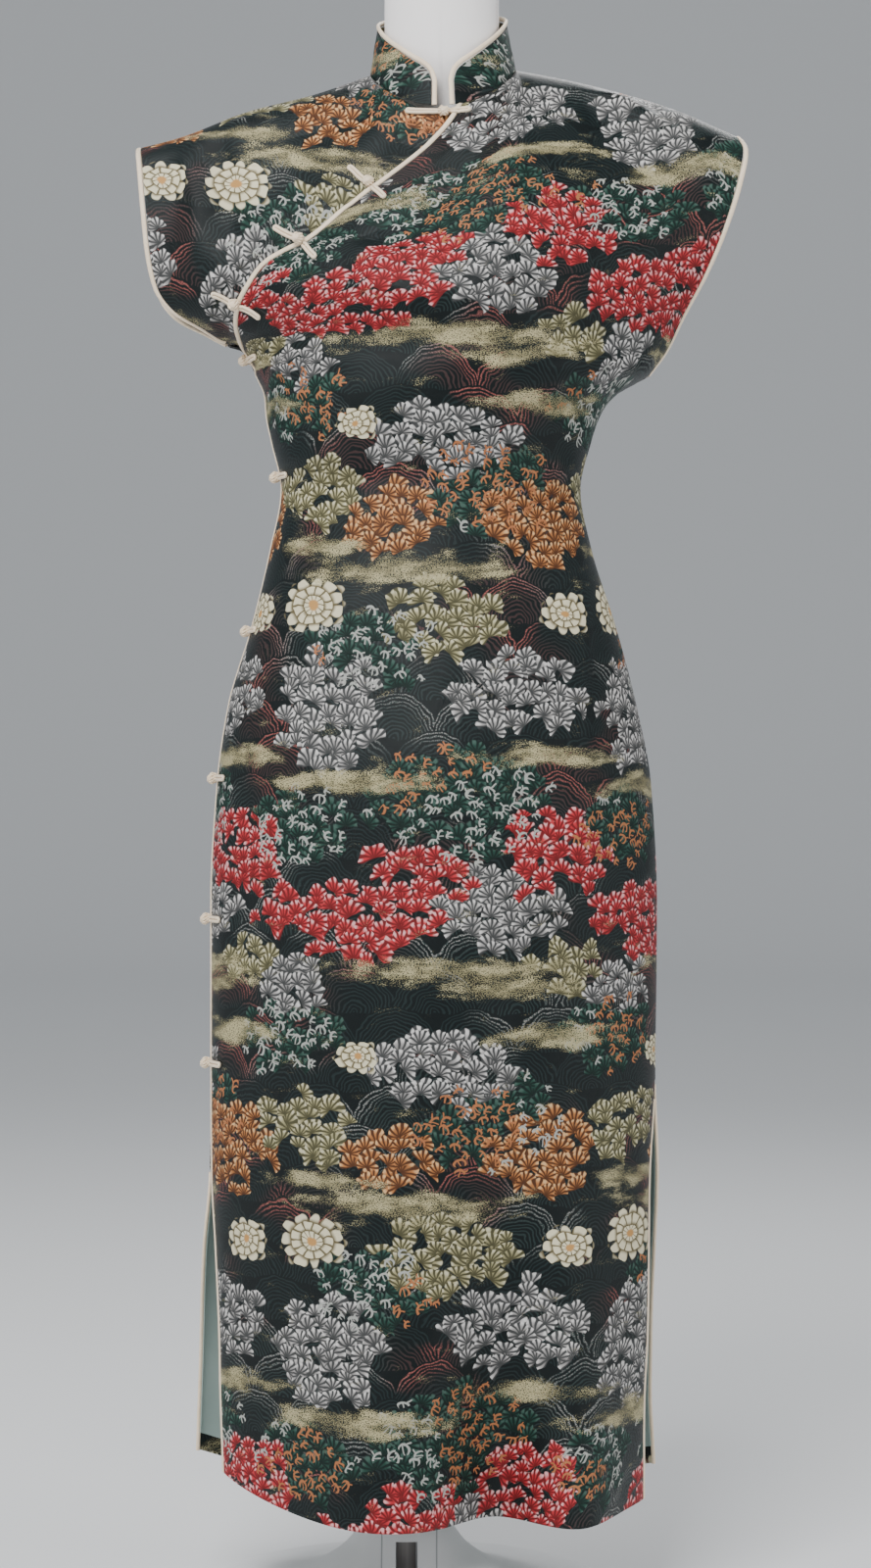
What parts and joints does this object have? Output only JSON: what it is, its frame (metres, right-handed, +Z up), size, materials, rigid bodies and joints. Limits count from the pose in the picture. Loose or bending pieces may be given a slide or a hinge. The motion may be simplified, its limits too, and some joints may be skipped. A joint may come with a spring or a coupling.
{
  "type": "cheongsam dress on a limbless dress form with a stand",
  "caption": "Long fitted dress with standing collar, cap sleeves, slanted side closing with frogs and side slits, shown on a limbless form and pole stand.",
  "frame": {"origin": "centre of the stand's underside, on the floor", "axes": "+Z up, -Y out of the dress's front, +X to the right as the front is seen"},
  "size_m": [0.4846, 0.336, 1.3362],
  "materials": {
    "brocade": "woven satin brocade",
    "lining": "smooth lining",
    "binding": "satin",
    "form_cover": "matte jersey",
    "base_white": "satin",
    "pole_steel": "brushed"
  },
  "bodies": {
    "root": {"front_panel": "brocade", "front_underlap": "brocade", "back_panel": "brocade", "collar": "brocade", "back_lining": "lining", "binding_front_edge": "binding", "binding_slit_front_right": "binding", "binding_slit_back_left": "binding", "binding_slit_back_right": "binding", "binding_cuff_left": "binding", "binding_cuff_right": "binding", "binding_collar": "binding", "frog_neck_knot": "binding", "frog_neck_loop": "binding", "frog_neck_leg": "binding", "frog_upper_knot": "binding", "frog_upper_loop": "binding", "frog_upper_leg": "binding", "frog_middle_knot": "binding", "frog_middle_loop": "binding", "frog_middle_leg": "binding", "frog_lower_knot": "binding", "frog_lower_loop": "binding", "frog_lower_leg": "binding", "frog_armhole_knot": "binding", "frog_armhole_front": "binding", "frog_armhole_back": "binding", "frog_waist_knot": "binding", "frog_waist_front": "binding", "frog_waist_back": "binding", "frog_hip_upper_knot": "binding", "frog_hip_upper_front": "binding", "frog_hip_upper_back": "binding", "frog_hip_lower_knot": "binding", "frog_hip_lower_front": "binding", "frog_hip_lower_back": "binding", "frog_thigh_upper_knot": "binding", "frog_thigh_upper_front": "binding", "frog_thigh_upper_back": "binding", "frog_thigh_lower_knot": "binding", "frog_thigh_lower_front": "binding", "frog_thigh_lower_back": "binding", "dress_form": "form_cover", "stand_base": "base_white", "stand_pole": "pole_steel"}
  },
  "joints": []
}
